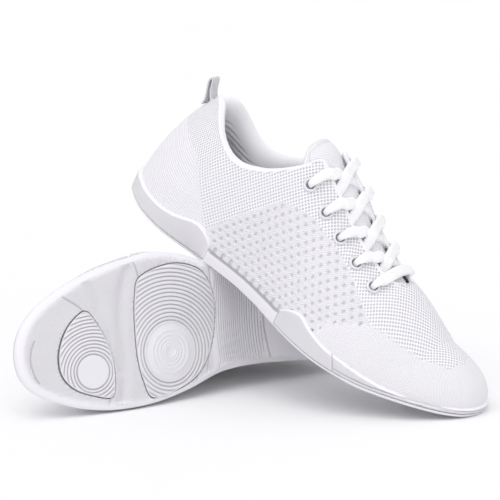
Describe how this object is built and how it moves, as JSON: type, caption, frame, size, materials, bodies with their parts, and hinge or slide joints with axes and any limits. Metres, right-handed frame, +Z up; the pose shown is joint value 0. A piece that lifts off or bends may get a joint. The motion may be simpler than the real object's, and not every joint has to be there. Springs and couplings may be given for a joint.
{
  "type": "pair of cheer shoes",
  "caption": "Low lace-up cheer shoes with knit uppers and light moulded soles with round tread pads, one lying on its side and the other leaning on it.",
  "frame": {"origin": "centre of the bounding box, at the height of the floor", "axes": "+Z up; +X runs to the right along the longest extent of the arranged pair; +Y points away from the side from which the lying shoe shows its sole"},
  "size_m": [0.2842, 0.2122, 0.1908],
  "materials": {
    "sole": "matt moulded foam rubber, white with a faint lilac cast",
    "side_wall": "matt moulded foam rubber with fine lines",
    "pad": "matt solid rubber, slightly darker than the sole",
    "board": "stiff fibre board and thermoplastic stiffener",
    "foam": "covered foam footbed",
    "knit": "white engineered knit",
    "lining": "soft ribbed lining over foam",
    "tongue_knit": "white knit over thin foam",
    "lace": "flat woven lace",
    "tape": "grey woven tape",
    "eyelet": "silvery white pressed eyelet"
  },
  "bodies": {
    "left_shoe": {"left_rear_sole": "sole", "left_heel_cup": "side_wall", "left_lateral_foxing": "side_wall", "left_medial_foxing": "side_wall", "left_heel_pad": "pad", "left_ball_pad": "pad", "left_insole_board": "board", "left_sockliner": "foam", "left_quarter": "knit", "left_vamp_flex": "knit", "left_heel_counter": "board", "left_collar_lining": "lining", "left_tongue": "tongue_knit", "left_lace": "lace", "left_lateral_eyelet_1": "eyelet", "left_lateral_eyelet_2": "eyelet", "left_lateral_eyelet_3": "eyelet", "left_lateral_eyelet_4": "eyelet", "left_lateral_eyelet_5": "eyelet", "left_medial_eyelet_1": "eyelet", "left_medial_eyelet_2": "eyelet", "left_medial_eyelet_3": "eyelet", "left_medial_eyelet_4": "eyelet", "left_medial_eyelet_5": "eyelet"},
    "left_toe": {"left_toe_sole": "sole", "left_toe_rand": "side_wall", "left_toe_pad": "pad", "left_vamp_toe": "knit", "left_toe_puff": "board"},
    "left_tab": {"left_pull_tab": "tape"},
    "right_shoe": {"right_rear_sole": "sole", "right_heel_cup": "side_wall", "right_lateral_foxing": "side_wall", "right_medial_foxing": "side_wall", "right_heel_pad": "pad", "right_ball_pad": "pad", "right_insole_board": "board", "right_sockliner": "foam", "right_quarter": "knit", "right_vamp_flex": "knit", "right_heel_counter": "board", "right_collar_lining": "lining", "right_tongue": "tongue_knit", "right_lace": "lace", "right_lateral_eyelet_1": "eyelet", "right_lateral_eyelet_2": "eyelet", "right_lateral_eyelet_3": "eyelet", "right_lateral_eyelet_4": "eyelet", "right_lateral_eyelet_5": "eyelet", "right_medial_eyelet_1": "eyelet", "right_medial_eyelet_2": "eyelet", "right_medial_eyelet_3": "eyelet", "right_medial_eyelet_4": "eyelet", "right_medial_eyelet_5": "eyelet"},
    "right_toe": {"right_toe_sole": "sole", "right_toe_rand": "side_wall", "right_toe_pad": "pad", "right_vamp_toe": "knit", "right_toe_puff": "board"},
    "right_tab": {"right_pull_tab": "tape"}
  },
  "joints": [
    {"name": "right_lift", "type": "slide", "parent": "left_shoe", "child": "right_shoe", "axis": [0, 0, 1], "range_m": [0, 0.15]},
    {"name": "left_toe_flex", "type": "hinge", "parent": "left_shoe", "child": "left_toe", "pos_m": [-0.07461, -0.06837, 0.04341], "axis": [0.0635, -0.1452, -0.9874], "range_deg": [0, 30], "stiffness_Nm_per_rad": 3, "deforming": ["left_vamp_flex", "left_sockliner"]},
    {"name": "left_tab_flex", "type": "hinge", "parent": "left_shoe", "child": "left_tab", "pos_m": [0.01964, 0.09757, 0.02507], "axis": [0.0635, -0.1452, -0.9874], "range_deg": [-15, 60], "stiffness_Nm_per_rad": 0.01},
    {"name": "right_toe_flex", "type": "hinge", "parent": "right_shoe", "child": "right_toe", "pos_m": [0.07354, -0.05507, 0.02811], "axis": [-0.5161, -0.8562, -0.0244], "range_deg": [0, 30], "stiffness_Nm_per_rad": 3, "deforming": ["right_vamp_flex", "right_sockliner"]},
    {"name": "right_tab_flex", "type": "hinge", "parent": "right_shoe", "child": "right_tab", "pos_m": [-0.02605, 0.00056, 0.1822], "axis": [-0.5161, -0.8562, -0.0244], "range_deg": [-15, 60], "stiffness_Nm_per_rad": 0.01}
  ]
}
